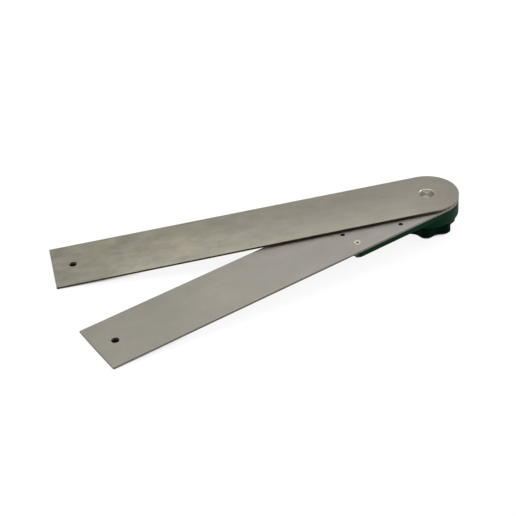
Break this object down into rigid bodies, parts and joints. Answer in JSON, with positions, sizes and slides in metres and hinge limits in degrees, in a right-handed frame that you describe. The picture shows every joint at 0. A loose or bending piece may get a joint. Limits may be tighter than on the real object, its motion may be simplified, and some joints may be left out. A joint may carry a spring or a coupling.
{
  "type": "digital protractor",
  "caption": "Two long steel blades on one locking pivot, with a display housing that reads the angle between them.",
  "frame": {"origin": "on the pivot axis, at the flat face of the lock knob, which is the lowest face", "axes": "+Z along the pivot axis, out of the plain steel side; the front blade runs along -X; the back blade is opened by 20.2 degrees towards +Y"},
  "size_m": [0.217, 0.1018, 0.0187],
  "materials": {
    "blade_steel": "rolled and fine brushed, with faint stains",
    "housing_green": "dark green moulded plastic, fine satin texture",
    "knob_green": "very dark green moulded plastic, satin",
    "button_black": "matte moulded rubber",
    "window_lens": "clear polished",
    "lcd_glass": "grey-green display glass",
    "black_rubber": "soft, matte",
    "board_laminate": "green solder mask with bare pads",
    "black_plastic": "moulded chip body",
    "ceramic": "fired ceramic",
    "bright_steel": "plated, satin",
    "shaft_steel": "turned, fine rings",
    "dark_steel": "blackened",
    "spring_brass": "thin sprung strip",
    "turned_brass": "turned",
    "washer_plastic": "dark brown friction washer"
  },
  "bodies": {
    "front": {"front_blade": "blade_steel", "housing_base": "housing_green", "housing_cover": "housing_green", "display_window": "window_lens", "lcd_panel": "lcd_glass", "zebra_strips": "black_rubber", "main_board": "board_laminate", "controller_chip": "black_plastic", "crystal_can": "bright_steel", "board_capacitors": "ceramic", "switch_domes": "bright_steel", "board_screws": "bright_steel", "battery_cell": "bright_steel", "battery_contact_positive": "spring_brass", "battery_contact_negative": "spring_brass", "blade_screws": "bright_steel", "cover_screws": "bright_steel", "shaft_bush": "turned_brass", "cover_bush": "turned_brass"},
    "back": {"back_blade": "blade_steel", "pivot_shaft": "shaft_steel", "blade_spacer": "washer_plastic", "rotor_hub": "turned_brass", "rotor_disc": "board_laminate", "hub_set_screw": "dark_steel", "retaining_ring": "dark_steel"},
    "knob_carrier": {"thrust_washer": "bright_steel"},
    "knob": {"lock_knob": "knob_green", "knob_insert": "turned_brass", "knob_cap": "housing_green"},
    "power_key": {"power_button": "button_black"},
    "zero_key": {"zero_button": "button_black"},
    "hold_key": {"hold_button": "button_black"},
    "battery_cover": {"battery_door": "housing_green"}
  },
  "joints": [
    {"name": "blade_pivot", "type": "hinge", "parent": "front", "child": "back", "pos_m": [0, 0, 0.0165], "axis": [0, 0, 1], "continuous": true},
    {"name": "knob_travel", "type": "slide", "parent": "back", "child": "knob_carrier", "axis": [0, 0, -1], "range_m": [0, 0.0008]},
    {"name": "knob_turn", "type": "hinge", "parent": "knob_carrier", "child": "knob", "pos_m": [0, 0, 0.0035], "axis": [0, 0, -1], "range_deg": [0, 360]},
    {"name": "power_press", "type": "slide", "parent": "front", "child": "power_key", "axis": [0, 0, 1], "range_m": [0, 0.0004], "stiffness_N_per_m": 1500, "springref_m": -0.0005},
    {"name": "zero_press", "type": "slide", "parent": "front", "child": "zero_key", "axis": [0, 0, 1], "range_m": [0, 0.0004], "stiffness_N_per_m": 1500, "springref_m": -0.0005},
    {"name": "hold_press", "type": "slide", "parent": "front", "child": "hold_key", "axis": [0, 0, 1], "range_m": [0, 0.0004], "stiffness_N_per_m": 1500, "springref_m": -0.0005},
    {"name": "door_slide", "type": "slide", "parent": "front", "child": "battery_cover", "axis": [-1, 0, 0], "range_m": [0, 0.02]}
  ],
  "couplings": [
    {"joint": "knob_travel", "follows": "knob_turn", "m_per_rad": 0.00012732}
  ]
}
